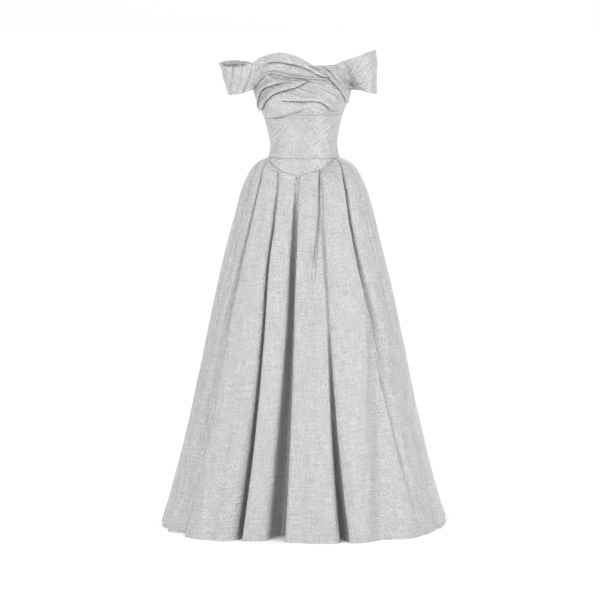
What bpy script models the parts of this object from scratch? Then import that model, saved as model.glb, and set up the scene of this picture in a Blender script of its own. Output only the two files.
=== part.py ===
"""Floor-length off-shoulder gown in its worn form, with nobody in it.

Metres, +Z up. The front faces -Y. The origin is the middle of the waist, where the wearer holds the gown up.
Angles on the garment are in degrees: 0 at the centre front, positive towards +X, 180 at the centre back.
Each cloth piece is a wall, worked out from sections and folds. Neighbours keep a small gap at their seams.
"""

import math

import bmesh
import bpy
from mathutils import Vector

WALL = 0.002
SEAM_GAP = 0.0003
LAP_GAP = 0.0009
LAP_EDGE = 0.003
HEM_HEIGHT = -1.165
SIDE_SEAM = 90
LEAN = -0.03
ROUNDNESS = 2 / 2.2

SILVER = (0.60, 0.59, 0.595)
ZIP_GREY = (0.45, 0.45, 0.46)

# The hollow form that the bodice and the yoke follow: height, half width, front depth, back depth.
FIGURE = [
    (-0.060, 0.130, 0.1035, 0.092),
    (0.000, 0.112, 0.094, 0.086),
    (0.022, 0.106, 0.091, 0.082),
    (0.045, 0.104, 0.091, 0.081),
    (0.085, 0.111, 0.096, 0.084),
    (0.117, 0.119, 0.104, 0.087),
    (0.149, 0.130, 0.120, 0.090),
    (0.175, 0.142, 0.128, 0.093),
    (0.200, 0.150, 0.124, 0.095),
    (0.225, 0.155, 0.114, 0.097),
    (0.260, 0.155, 0.101, 0.098),
    (0.300, 0.149, 0.090, 0.095),
    (0.335, 0.141, 0.083, 0.091),
]

# How far the skirt stands out past its seam: share of the way down, at the side, the front, the back.
FLARE = [
    (0.000, 0.000, 0.000, 0.000),
    (0.010, 0.028, 0.003, 0.022),
    (0.026, 0.050, 0.008, 0.040),
    (0.053, 0.069, 0.017, 0.058),
    (0.094, 0.089, 0.029, 0.079),
    (0.177, 0.115, 0.050, 0.108),
    (0.260, 0.139, 0.074, 0.136),
    (0.424, 0.184, 0.119, 0.184),
    (0.589, 0.222, 0.162, 0.228),
    (0.754, 0.265, 0.208, 0.272),
    (0.918, 0.313, 0.254, 0.320),
    (1.000, 0.341, 0.278, 0.345),
]
# The front and back are fuller halfway to the sides: by this share of their reach, at the hem.
HEM_BULGE = 0.13
# The hem swings out at these angles: the angle, half the width in degrees, and the share of the reach.
HEM_LOBES = [(-24, 18, 0.095), (9, 15, 0.055)]
SKIRT_ROWS = (0, 0.008, 0.026, 0.055, 0.11, 0.2, 0.32, 0.47, 0.64, 0.82, 1)

# The pointed yoke below the waist: its depth at the centre front, where its ends lie, how sharp its point is.
YOKE_DEPTH = 0.053
YOKE_HALF_ANGLE = 70
YOKE_POWER = 1.25
YOKE_END = 0.002
YOKE_ROWS = 4

# Skirt folds, each at the shares of the way down in FOLD_STOPS: angle, half width in mm, depth in mm.
# A soft fold is a round trough, and a pleat has steep sides.
FOLD_STOPS = (0, 0.012, 0.026, 0.05, 0.13, 0.25, 0.45, 1)
FRONT_FOLDS = [
    ("soft",
     (-78, -69, -64, -62, -60, -60, -62, -65),
     (4, 5, 6, 8, 10, 18, 28, 40),
     (2, 4, 6, 8, 10, 10, 8, 10)),
    ("soft",
     (-62, -51, -45, -41, -39.5, -41, -42.5, -41),
     (4, 4, 4.5, 6, 8, 14, 26, 50),
     (4, 8, 11, 14, 15, 18, 24, 26)),
    ("pleat",
     (-29, -22, -20, -18, -17.3, -18, -15.6, -14.6),
     (3.5, 3.8, 4, 4.5, 5, 6, 8.5, 13),
     (5, 5, 6, 7, 12, 24, 36, 80)),
    ("pleat",
     (-0.3, -0.3, -0.5, -0.5, -0.8, -0.8, -0.6, -1.6),
     (3.5, 3.8, 4, 4.5, 5, 8, 12, 24),
     (5, 6, 7, 8, 16, 34, 56, 115)),
    ("pleat",
     (30, 24, 22, 20.5, 18.5, 18.3, 20.5, 23.5),
     (3.5, 3.8, 4, 4.5, 5, 6, 8, 14),
     (5, 6, 8, 9, 11, 12, 16, 80)),
    ("soft",
     (70, 60, 54, 50, 46.3, 48, 54, 50),
     (4, 5, 5.5, 7, 9, 14, 24, 46),
     (4, 8, 11, 15, 18, 20, 18, 16)),
    ("soft",
     (84, 77, 73, 70, 69, 71, 75, 76),
     (4, 5, 6, 8, 10, 16, 24, 30),
     (2, 3, 4, 6, 5, 6, 8, 10)),
]
BACK_FOLDS = [
    ("soft",
     (103, 103.3, 103.6, 104, 104, 104.4, 105, 106),
     (4, 4.5, 5, 6, 8, 12, 20, 34),
     (4, 6, 8, 11, 13, 18, 30, 50)),
    ("pleat",
     (126, 126, 126, 126, 126, 126.4, 127, 128),
     (4, 4.3, 4.6, 5, 6, 9, 14, 24),
     (5, 6, 7, 9, 14, 24, 40, 85)),
    ("pleat",
     (150, 150, 150, 150, 150, 150.4, 151, 152),
     (4, 4.3, 4.6, 5, 6, 9, 14, 24),
     (5, 6, 7, 9, 14, 24, 40, 85)),
]
LEFT_BACK_FOLDS = [(kind, tuple(-a for a in angles), *sizes) for kind, angles, *sizes in reversed(BACK_FOLDS)]
FOLDS = LEFT_BACK_FOLDS + FRONT_FOLDS + BACK_FOLDS
FOLD_COLUMNS = {"soft": (-1, -0.5, 0, 0.5, 1), "pleat": (-1, -0.8, -0.5, 0, 0.5, 0.8, 1)}
PANEL_COLUMNS = (0.2, 0.5, 0.8)
# Beside a pleat the cloth slopes in by this share of its depth, over this many of its half widths.
SHOULDER_SHARE = 0.10
SHOULDER_REACH = 3.0
PAST_SEAM = 1.0
SEAM_SLOPE = 0.0016

# Lines across the bust, as (angle, height): the seam below it, then the draped folds from low to high.
UNDERBUST = [(-90, 0.127), (-56, 0.127), (-31, 0.126), (-15, 0.131), (0, 0.134), (58, 0.136), (90, 0.141)]
LOW_FOLD = [(-90, 0.129), (-31, 0.129), (-15, 0.136), (-1, 0.146), (11, 0.156), (30, 0.162), (90, 0.150)]
MIDDLE_FOLD = [
    (-90, 0.140), (-56, 0.150), (-25, 0.180), (6, 0.182), (28, 0.181), (41, 0.167), (52, 0.150), (90, 0.154)
]
TUCK_LOW = [
    (-90, 0.146), (-56, 0.157), (-38, 0.183), (-22, 0.206), (-8, 0.218), (1, 0.226), (13, 0.244), (40, 0.236),
    (90, 0.190),
]
TUCK_HIGH = [
    (-90, 0.150), (-66, 0.158), (-54, 0.190), (-44, 0.214), (-30, 0.229),
    (-5, 0.241), (13, 0.247), (40, 0.240),
    (90, 0.196),
]
BUST_TOP = [
    (-90, 0.214), (-72, 0.236), (-50, 0.262), (-20, 0.288), (0, 0.284), (15, 0.272), (36, 0.262), (60, 0.260),
    (90, 0.231),
]
# Each draped fold: its line, its height, the angles between which it rises and dies away, and how far above
# its line it goes flat again. The tuck ends at its own upper line.
BUST_FOLDS = [
    (LOW_FOLD, 0.0035, (-200, -190, 2, 22), (0.004, 0.035)),
    (MIDDLE_FOLD, 0.0030, (-25, -5, 60, 80), (0.004, 0.035)),
    (TUCK_LOW, 0.0045, (-200, -190, 6, 13), None),
]
BUST_COLUMNS = 37
ROW_BESIDE_LINE = 0.0009
LEAST_ROW = 0.0016

BACK_TOP = [(90, 0.222), (125, 0.234), (180, 0.238)]
WAIST_PANEL_GRID = (29, 8)
BODICE_BACK_GRID = (14, 12)

# Left neck drape on the form: angle, height of its lower edge, height of its upper edge.
NECK_DRAPE = [
    (42, 0.249, 0.257),
    (33, 0.247, 0.264),
    (24, 0.248, 0.279),
    (14, 0.249, 0.298),
    (4, 0.253, 0.314),
    (-6, 0.258, 0.325),
    (-18, 0.265, 0.329),
    (-30, 0.266, 0.326),
    (-41, 0.253, 0.320),
]
# The roll along its upper edge: where it starts across the band, its height, and its strength along the band.
ROLL_START = 0.6
ROLL_HEIGHT = 0.007
ROLL_ALONG = [(0, 0), (0.05, 0), (0.2, 1), (0.38, 1), (0.55, 0), (1, 0)]
BAND_SHARES = (0, 0.14, 0.3, 0.45, 0.58, 0.68, 0.84, 1)
NECK_COLUMNS = 24

# Left sleeve round the arm, from front to back: lower edge x, y, z and upper edge x, y, z.
LEFT_SLEEVE = [
    (-0.140, -0.0765, 0.231, -0.1325, -0.0680, 0.312),
    (-0.151, -0.0755, 0.216, -0.1510, -0.0695, 0.298),
    (-0.176, -0.0710, 0.206, -0.184, -0.0670, 0.287),
    (-0.207, -0.0600, 0.200, -0.222, -0.0570, 0.284),
    (-0.231, -0.0370, 0.198, -0.254, -0.0370, 0.288),
    (-0.241, -0.0040, 0.200, -0.270, -0.0070, 0.297),
    (-0.233, 0.032, 0.204, -0.264, 0.028, 0.302),
    (-0.210, 0.056, 0.208, -0.236, 0.058, 0.304),
    (-0.178, 0.072, 0.211, -0.200, 0.080, 0.300),
    (-0.145, 0.082, 0.213, -0.160, 0.094, 0.285),
]
# Where the sleeves are sewn on at the back: angle, lower edge, upper edge.
LEFT_SLEEVE_BACK = [(-146, 0.214, 0.256), (-158, 0.217, 0.246)]
RIGHT_SLEEVE_BACK = [(146, 0.214, 0.256), (158, 0.217, 0.246)]
BACK_COLUMNS = 3
ARM_COLUMNS = 23

# Right wrap, from the neck down to the side seam: angle and height on its front edge and on its outer edge.
RIGHT_WRAP = [
    (20, 0.289, 50, 0.294),
    (33, 0.270, 56, 0.279),
    (40, 0.247, 65, 0.257),
    (53, 0.220, 78, 0.240),
    (67, 0.197, 89.5, 0.228),
    (84, 0.171, 89.5, 0.186),
]
WRAP_RIDGE = 0.003
WRAP_RIDGE_SHARE = 0.3
WRAP_ACROSS = (0, 0.1, 0.22, 0.32, 0.55, 0.78, 1)
# The wrap's rows. The right sleeve is sewn along all but the last two.
WRAP_ROWS = (0, 0.1333, 0.2667, 0.4, 0.5333, 0.6667, 0.8, 0.9, 1)
SEWN_ROWS = 7
SEAM_LAP = 1

# Right sleeve round the arm, from front to back, as the left one.
RIGHT_SLEEVE = [
    (0.166, -0.008, 0.225, 0.133, -0.0665, 0.303),
    (0.181, -0.030, 0.219, 0.154, -0.0680, 0.310),
    (0.200, -0.045, 0.2115, 0.180, -0.0665, 0.318),
    (0.2145, -0.046, 0.2075, 0.206, -0.0585, 0.329),
    (0.226, -0.032, 0.2045, 0.2250, -0.042, 0.3375),
    (0.232, -0.004, 0.203, 0.232, -0.010, 0.3375),
    (0.224, 0.030, 0.206, 0.223, 0.028, 0.325),
    (0.203, 0.056, 0.209, 0.200, 0.060, 0.310),
    (0.173, 0.074, 0.211, 0.172, 0.082, 0.298),
    (0.142, 0.084, 0.213, 0.145, 0.095, 0.282),
]

# Concealed zip at the centre back. The tape lies inside, and the slider and pull tab outside at its top.
ZIP_TOP = 0.226
ZIP_LAST_ROW = 4
TAPE_WIDTH = 0.022
TAPE_THICK = 0.0010
TAPE_GAP = 0.0006
TAPE_SAG = 0.035
COIL_WIDTH = 0.005
COIL_THICK = 0.0012
SLIDER_MIDDLE = 0.219
SLIDER_WIDTH = 0.0056
SLIDER_HEIGHT = 0.011
SLIDER_DEPTH = 0.0024
BRIDGE_WIDTH = 0.0016
BRIDGE_SLIMMER = 0.0001
BRIDGE_SPACE = 0.0018
BRIDGE_BAR = 0.0010
BRIDGE_HEIGHT = 0.0078
PULL_WIDTH = 0.0056
PULL_ARM = 0.0012
PULL_THICK = 0.0010
PULL_LENGTH = 0.024
PULL_EYE = 0.0052


def clear_scene():
    for thing in list(bpy.data.objects):
        bpy.data.objects.remove(thing)


def material(name, colour, roughness, metallic):
    made = bpy.data.materials.new(name)
    made.use_nodes = True
    shader = made.node_tree.nodes["Principled BSDF"]
    shader.inputs["Base Color"].default_value = (*colour, 1)
    shader.inputs["Roughness"].default_value = roughness
    shader.inputs["Metallic"].default_value = metallic
    return made


def smooth(stops, values, x):
    """The value at x on a smooth curve through the stops."""
    x = min(max(x, stops[0]), stops[-1])
    i = 0
    while i < len(stops) - 2 and x > stops[i + 1]:
        i += 1

    def slope(k):
        low, high = max(k - 1, 0), min(k + 1, len(stops) - 1)
        return (values[high] - values[low]) / (stops[high] - stops[low])

    span = stops[i + 1] - stops[i]
    s = (x - stops[i]) / span
    rise = 3 * s * s - 2 * s**3
    bend_in = s**3 - 2 * s * s + s
    bend_out = s**3 - s * s
    return values[i] * (1 - rise) + values[i + 1] * rise + span * (slope(i) * bend_in + slope(i + 1) * bend_out)


def column(table, index, x):
    return smooth([row[0] for row in table], [row[index] for row in table], x)


def height_on(line, angle):
    return column(line, 1, angle)


def ramp(x, start, end):
    """0 before start, 1 after end, smooth between."""
    s = min(max((x - start) / (end - start), 0), 1)
    return s * s * (3 - 2 * s)


def rounded(value):
    return math.copysign(abs(value) ** ROUNDNESS, value)


def on_figure(angle, height, out):
    """A point that distance outside the hollow form."""
    a = math.radians(angle)
    half = column(FIGURE, 1, height) + out
    depth = column(FIGURE, 2 if math.cos(a) > 0 else 3, height) + out
    return Vector((half * rounded(math.sin(a)) + LEAN * height, -depth * rounded(math.cos(a)), height))


def yoke_edge(angle):
    """Height of the yoke's lower edge, where the skirt is sewn on. It is 0 past the yoke's ends."""
    share = abs(angle) / YOKE_HALF_ANGLE
    return -YOKE_DEPTH * (1 - share**YOKE_POWER) if share < 1 else 0.0


def fold_at(fold, t):
    """Angle, half width and depth of a fold at a share of the way down. At the seam it is pressed flat."""
    angle, half, depth = (smooth(FOLD_STOPS, values, t) for values in fold[1:])
    return angle, half / 1000, depth / 1000 * ramp(t, 0, SKIRT_ROWS[1])


def trough(kind, across):
    """Share of a fold's depth at a distance of across half widths from its middle."""
    if abs(across) >= 1:
        return 0.0
    return (1 - across**2) ** 2 if kind == "soft" else (1 - abs(across) ** 3) ** 1.3


def seam_height(angle):
    """Height of the skirt's top edge, just under the yoke or the bodice."""
    below_yoke = abs(angle) < YOKE_HALF_ANGLE
    return (min(yoke_edge(angle), -YOKE_END) if below_yoke else 0.0) - SEAM_GAP


def skirt_base(angle, t):
    """A point of the skirt without its folds, t of the way from its seam to the hem."""
    a = math.radians(angle)
    top = seam_height(angle)
    start = on_figure(angle, top, WALL / 2)
    side, front, back = (column(FLARE, k, t) for k in (1, 2, 3))
    out = front if math.cos(a) > 0 else back
    fuller = 1 + HEM_BULGE * t * math.sin(2 * a) ** 2 * abs(math.cos(a))
    for middle, half, share in HEM_LOBES:
        fuller += share * t**2 * math.exp(-(((angle - middle) / half) ** 2))
    x, y = start.x + side * math.sin(a), start.y - out * math.cos(a)
    return Vector((x * fuller, y * fuller, top + (HEM_HEIGHT - top) * t))


def skirt_point(angle, t):
    base = skirt_base(angle, t)
    radius = math.hypot(base.x, base.y)
    inward = 0.0
    for fold in FOLDS:
        centre, half, depth = fold_at(fold, t)
        across = math.radians(angle - centre) * radius / half
        inward += depth * trough(fold[0], across)
        if fold[0] == "pleat":
            inward += SHOULDER_SHARE * depth * math.exp(-((across / SHOULDER_REACH) ** 2))
    share = (radius - inward) / radius
    return Vector((base.x * share, base.y * share, base.z))


def skirt_angles(folds, start, end, t):
    """The angles of a panel's columns at one height, dense in its folds, from one seam to the other."""
    side_base = skirt_base(start, t)
    gap = math.degrees(SEAM_GAP / 2 / math.hypot(side_base.x, side_base.y))
    edge = start + gap
    angles = [edge]
    for fold in folds:
        centre, half, _ = fold_at(fold, t)
        base = skirt_base(centre, t)
        reach = math.degrees(half / math.hypot(base.x, base.y))
        angles += [edge + (centre - reach - edge) * share for share in PANEL_COLUMNS]
        angles += [centre + reach * across for across in FOLD_COLUMNS[fold[0]]]
        edge = centre + reach
    return angles + [edge + (end - gap - edge) * share for share in PANEL_COLUMNS] + [end - gap]


def grid_normals(grid):
    """The normal at each point of a grid, from its neighbours, on the side that u x v points to."""
    normals = []
    for i, line in enumerate(grid):
        before, after = grid[max(i - 1, 0)], grid[min(i + 1, len(grid) - 1)]
        row = []
        for j in range(len(line)):
            along = after[j] - before[j]
            up = line[min(j + 1, len(line) - 1)] - line[max(j - 1, 0)]
            row.append(along.cross(up).normalized())
        normals.append(row)
    return normals


def moved(grid, distances):
    """The grid moved along its normals, by a distance for each point."""
    moved_grid = []
    for line, normals, row in zip(grid, grid_normals(grid), distances):
        moved_grid.append([point + normal * distance for point, normal, distance in zip(line, normals, row)])
    return moved_grid


def evenly(grid, distance):
    """The same distance for each point of a grid."""
    return [[distance] * len(line) for line in grid]


def cloth(name, outside, inside, finish):
    """A closed wall between two grids of the same size."""
    shell = bmesh.new()
    layers = [[[shell.verts.new(p) for p in line] for line in grid] for grid in (outside, inside)]
    last_i, last_j = len(outside) - 1, len(outside[0]) - 1
    for layer in layers:
        for i in range(last_i):
            for j in range(last_j):
                shell.faces.new((layer[i][j], layer[i + 1][j], layer[i + 1][j + 1], layer[i][j + 1]))
    rim = [(i, 0) for i in range(last_i)] + [(last_i, j) for j in range(last_j)]
    rim += [(i, last_j) for i in range(last_i, 0, -1)] + [(0, j) for j in range(last_j, 0, -1)]
    for (i, j), (k, m) in zip(rim, rim[1:] + rim[:1]):
        shell.faces.new((layers[0][i][j], layers[0][k][m], layers[1][k][m], layers[1][i][j]))
    bmesh.ops.recalc_face_normals(shell, faces=shell.faces)
    return as_object(name, shell, finish)


def as_object(name, shape, finish):
    mesh = bpy.data.meshes.new(name)
    shape.to_mesh(mesh)
    shape.free()
    mesh.materials.append(finish)
    mesh.shade_smooth()
    mesh.set_sharp_from_angle(angle=math.radians(50))
    made = bpy.data.objects.new(name, mesh)
    bpy.context.scene.collection.objects.link(made)
    return made


def spread(start, end, count):
    return [start + (end - start) * k / (count - 1) for k in range(count)]


def skirt_panel(name, folds, start, end, finish):
    """A skirt panel. A column past each seam gives the wall the same slope there as its neighbour's."""
    rows = [skirt_angles(folds, start, end, t) for t in SKIRT_ROWS]
    rows = [[row[0] - PAST_SEAM] + row + [row[-1] + PAST_SEAM] for row in rows]
    middle = [[skirt_point(rows[j][k], t) for j, t in enumerate(SKIRT_ROWS)] for k in range(len(rows[0]))]
    outside = moved(middle, evenly(middle, -WALL / 2))
    inside = moved(middle, evenly(middle, WALL / 2))
    for k in range(len(middle)):
        outside[k][0] = on_figure(rows[0][k], seam_height(rows[0][k]), WALL)
        inside[k][0] = on_figure(rows[0][k], seam_height(rows[0][k]) - SEAM_SLOPE, 0)
    return cloth(name, outside[1:-1], inside[1:-1], finish)


def skirt(finish):
    skirt_panel("skirt_front", FRONT_FOLDS, -SIDE_SEAM, SIDE_SEAM, finish)
    skirt_panel("skirt_back_right", BACK_FOLDS, SIDE_SEAM, 180, finish)
    skirt_panel("skirt_back_left", LEFT_BACK_FOLDS, -180, -SIDE_SEAM, finish)


def fitted_panel(name, angles, low, high, rows, finish):
    """A piece that lies on the form between two heights, each a function of the angle."""
    heights = {a: spread(low(a), high(a), rows) for a in angles}
    outside = [[on_figure(a, z, WALL) for z in heights[a]] for a in angles]
    inside = [[on_figure(a, z, 0) for z in heights[a]] for a in angles]
    return cloth(name, outside, inside, finish)


def side_gap(height):
    """Half the gap at a seam of the bodice, in degrees."""
    return math.degrees(SEAM_GAP / 2 / column(FIGURE, 1, height))


def waist_panel(finish):
    columns, rows = WAIST_PANEL_GRID
    side = SIDE_SEAM - side_gap(0.045)
    top = lambda angle: height_on(UNDERBUST, angle) - SEAM_GAP
    fitted_panel("waist_panel", spread(-side, side, columns), lambda angle: 0, top, rows, finish)


def bodice_back(finish):
    columns, rows = BODICE_BACK_GRID
    gap = side_gap(0.045)
    top = lambda angle: height_on(BACK_TOP, abs(angle))
    for name, turn in (("bodice_back_right", 1), ("bodice_back_left", -1)):
        angles = [turn * angle for angle in spread(SIDE_SEAM + gap, 180 - gap, columns)]
        fitted_panel(name, angles, lambda angle: 0, top, rows, finish)


def yoke(finish):
    """The pointed piece between the waist seam and the skirt. Its columns are the skirt's own."""
    angles = skirt_angles(FRONT_FOLDS, -SIDE_SEAM, SIDE_SEAM, 0)
    angles = [angle for angle in angles if abs(angle) < YOKE_HALF_ANGLE]
    low = lambda angle: min(yoke_edge(angle), -YOKE_END)
    fitted_panel("yoke", angles, low, lambda angle: -SEAM_GAP, YOKE_ROWS, finish)


def bust_cover(angle):
    """Height of the lowest edge that laps over the bust drape at this angle."""
    left = column(sorted(NECK_DRAPE), 1, angle)
    if angle < RIGHT_WRAP[1][0]:
        return left
    return min(left, column(RIGHT_WRAP, 1, angle))


def bust_relief(angle, height):
    """How far the folds of the bust drape stand out from its wall. They go flat under what laps over it."""
    out = 0.0
    for line, size, (start, full, fading, gone), flat in BUST_FOLDS:
        above = height - height_on(line, angle)
        if above <= 0:
            continue
        reach = height_on(TUCK_HIGH, angle) - height_on(TUCK_LOW, angle)
        near, far = flat or (0.85 * reach, reach)
        strength = ramp(angle, start, full) * (1 - ramp(angle, fading, gone)) * (1 - ramp(above, near, far))
        out = max(out, size * strength)
    cover = bust_cover(angle)
    return out * (1 - ramp(height, cover - 4 * LAP_EDGE, cover - 1.1 * LAP_EDGE))


def bust_heights(angle):
    """The heights of the bust drape's rows: just below and just above each fold line, and between them."""
    lines = [height_on(line, angle) for line in (LOW_FOLD, MIDDLE_FOLD, TUCK_LOW, TUCK_HIGH)]
    beside = [(z - ROW_BESIDE_LINE, z + ROW_BESIDE_LINE) for z in lines]
    low, middle, tuck, tuck_end = beside
    top = height_on(BUST_TOP, angle)
    wanted = [*low, (low[1] + middle[0]) / 2, *middle, (middle[1] + tuck[0]) / 2, *tuck, *tuck_end]
    wanted += [bust_cover(angle) - LAP_EDGE, top]
    heights = [height_on(UNDERBUST, angle)]
    for k, z in enumerate(wanted):
        highest = top - LEAST_ROW * (len(wanted) - 1 - k)
        heights.append(min(max(z, heights[-1] + LEAST_ROW), highest))
    return heights


def bust_drape(finish):
    """The draped front over the bust, with its folds raised over a plain inside."""
    side = SIDE_SEAM - side_gap(0.175)
    outside, inside = [], []
    for angle in spread(-side, side, BUST_COLUMNS):
        heights = bust_heights(angle)
        outside.append([on_figure(angle, z, WALL + bust_relief(angle, z)) for z in heights])
        inside.append([on_figure(angle, z, 0) for z in heights])
    cloth("bust_drape", outside, inside, finish)


def lap_columns(table, count, out, shares):
    """Columns of a band that lies on the form. The table gives an angle and the band's two edges."""
    stops = list(range(len(table)))
    columns = []
    for place in spread(0, len(table) - 1, count):
        angle, low, high = (smooth(stops, [row[k] for row in table], place) for k in range(3))
        columns.append([on_figure(angle, low + (high - low) * v, out) for v in shares])
    return columns


def arm_columns(before, table, after, count, shares):
    """Columns of a band round the arm, on smooth curves through its sections and two columns at each end."""
    sections = before[-2:]
    for row in table:
        low, high = Vector(row[:3]), Vector(row[3:])
        sections.append([low.lerp(high, share) for share in shares])
    sections += after[:2]
    stops = list(range(len(sections)))
    columns = []
    for place in spread(1, len(sections) - 2, count + 2)[1:-1]:
        rows = zip(*sections)
        columns.append([Vector([smooth(stops, values, place) for values in zip(*row)]) for row in rows])
    return columns


def neck_and_left_sleeve(finish):
    """One cloth from the twist, over the left bust and round the left arm, to the back."""
    lap = WALL + LAP_GAP
    neck = lap_columns(NECK_DRAPE, NECK_COLUMNS, lap, BAND_SHARES)
    back = lap_columns(LEFT_SLEEVE_BACK, BACK_COLUMNS, lap, BAND_SHARES)
    flat = neck + arm_columns(neck, LEFT_SLEEVE, back, ARM_COLUMNS, BAND_SHARES) + back
    across = [max(share - ROLL_START, 0) / (1 - ROLL_START) for share in BAND_SHARES]
    lift = []
    for place in spread(0, 1, len(flat)):
        height = ROLL_HEIGHT * column(ROLL_ALONG, 1, place)
        lift.append([height * math.sin(math.pi * u) ** 0.6 if 0 < u < 1 else 0 for u in across])
    inside = moved(flat, [[-d for d in row] for row in lift])
    outside = moved(flat, [[-d - WALL for d in row] for row in lift])
    return cloth("left_sleeve_and_neck", outside, inside, finish)


def wrap_edge(share, edge):
    """Angle and height on the front (0) or the outer (1) edge of the right wrap, and its distance off the form."""
    stops = list(range(len(RIGHT_WRAP)))
    place = share * (len(RIGHT_WRAP) - 1)
    angle, height = (smooth(stops, [row[2 * edge + k] for row in RIGHT_WRAP], place) for k in (0, 1))
    return angle, height, (WALL + LAP_GAP) * (2 - ramp(share, 0.5, 0.8))


def right_wrap(finish):
    """The piece that crosses the twist and runs down to the right side seam, with a ridge along its front."""
    outside, inside = [], []
    for share in WRAP_ROWS:
        (a0, z0, out), (a1, z1, _) = wrap_edge(share, 0), wrap_edge(share, 1)
        line_out, line_in = [], []
        for u in WRAP_ACROSS:
            angle, z = a0 + (a1 - a0) * u, z0 + (z1 - z0) * u
            ridge = WRAP_RIDGE * math.sin(math.pi * u / WRAP_RIDGE_SHARE) if u < WRAP_RIDGE_SHARE else 0
            line_out.append(on_figure(angle, z, out + WALL + ridge))
            line_in.append(on_figure(angle, z, out))
        outside.append(line_out)
        inside.append(line_in)
    return cloth("right_wrap", outside, inside, finish)


def sewn_column(inset):
    """A column of the right sleeve where it laps on the wrap, that many degrees in from the wrap's edge."""
    column_points = []
    for share in reversed(WRAP_ROWS[:SEWN_ROWS]):
        angle, height, out = wrap_edge(share, 1)
        column_points.append(on_figure(angle - inset, height, out + WALL + SEAM_GAP))
    return column_points


def right_sleeve(finish):
    """Round the right arm, from the slanting seam on the wrap to the back."""
    shares = spread(0, 1, SEWN_ROWS)
    start = [sewn_column(6 * SEAM_LAP), sewn_column(SEAM_LAP)]
    back = lap_columns(RIGHT_SLEEVE_BACK, BACK_COLUMNS, WALL + LAP_GAP, shares)
    inner = start[1:] + arm_columns(start, RIGHT_SLEEVE, back, ARM_COLUMNS, shares) + back
    return cloth("right_sleeve", moved(inner, evenly(inner, WALL)), inner, finish)


def zip_profile():
    """The middle of the zip's run inside the centre back: each point, and how the wall lies beyond it."""
    rows = [z for z in spread(height_on(BACK_TOP, 180), 0, BODICE_BACK_GRID[1]) if z < ZIP_TOP]
    points = [(on_figure(180, z, 0), 0 if z else SEAM_SLOPE) for z in [ZIP_TOP] + rows]
    points += [(skirt_base(180, t), WALL / 2) for t in SKIRT_ROWS[1:ZIP_LAST_ROW + 1]]
    profile = []
    for k, (point, wall) in enumerate(points):
        along = points[min(k + 1, len(points) - 1)][0] - points[max(k - 1, 0)][0]
        profile.append((point, Vector((0, along.z, -along.y)).normalized(), wall))
    return profile


def zip_tape(finish):
    """A tape inside the centre back seam, with the closed coil as a ridge on its inner side."""
    edges = [(-TAPE_WIDTH / 2, 0), (-COIL_WIDTH / 2, 0), (-COIL_WIDTH / 2 * 0.8, COIL_THICK)]
    edges += [(-x, rise) for x, rise in reversed(edges)]
    outer, inner = [], []
    for x, rise in edges:
        line_out, line_in = [], []
        for point, inward, wall in zip_profile():
            clear = TAPE_GAP + abs(x) * TAPE_SAG + wall
            line_out.append(point + inward * clear + Vector((x, 0, 0)))
            line_in.append(point + inward * (clear + TAPE_THICK + rise) + Vector((x, 0, 0)))
        outer.append(line_out)
        inner.append(line_in)
    return cloth("zip_tape", outer, inner, finish)


def box(name, low, high, finish):
    """A block between two corners."""
    shape = bmesh.new()
    bmesh.ops.create_cube(shape, size=1)
    for point in shape.verts:
        point.co = Vector([low[k] if point.co[k] < 0 else high[k] for k in range(3)])
    return as_object(name, shape, finish)


def joined(name, blocks, finish):
    """One body made of blocks that run into each other."""
    body = box(name, *blocks[0], finish)
    for k, corners in enumerate(blocks[1:]):
        guide = box(f"{name}_guide_{k}", *corners, finish)
        guide.hide_render = True
        guide.display_type = "WIRE"
        union = body.modifiers.new("union", "BOOLEAN")
        union.operation = "UNION"
        union.object = guide
    return body


def zip_slider(finish):
    """The slider outside the seam, with the bridge that the pull's eye hangs in."""
    middle, face, _ = on_figure(180, SLIDER_MIDDLE, WALL + SEAM_GAP)
    front = face + SLIDER_DEPTH
    top = front + BRIDGE_SPACE + BRIDGE_BAR
    low, high = SLIDER_MIDDLE - BRIDGE_HEIGHT / 2, SLIDER_MIDDLE + BRIDGE_HEIGHT / 2
    half, bridge = SLIDER_WIDTH / 2, BRIDGE_WIDTH / 2
    inset = BRIDGE_BAR / 2
    slim = bridge - BRIDGE_SLIMMER
    blocks = [
        ((-half, face, SLIDER_MIDDLE - SLIDER_HEIGHT / 2), (half, front, SLIDER_MIDDLE + SLIDER_HEIGHT / 2)),
        ((-bridge, front - inset, low), (bridge, top, low + BRIDGE_BAR)),
        ((-bridge, front - inset, high - BRIDGE_BAR), (bridge, top, high)),
        ((-slim, top - BRIDGE_BAR, low + inset), (slim, top - BRIDGE_SLIMMER, high - inset)),
    ]
    blocks = [[(middle + x, y, z) for x, y, z in corners] for corners in blocks]
    joined("zip_slider", blocks, finish)


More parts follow.
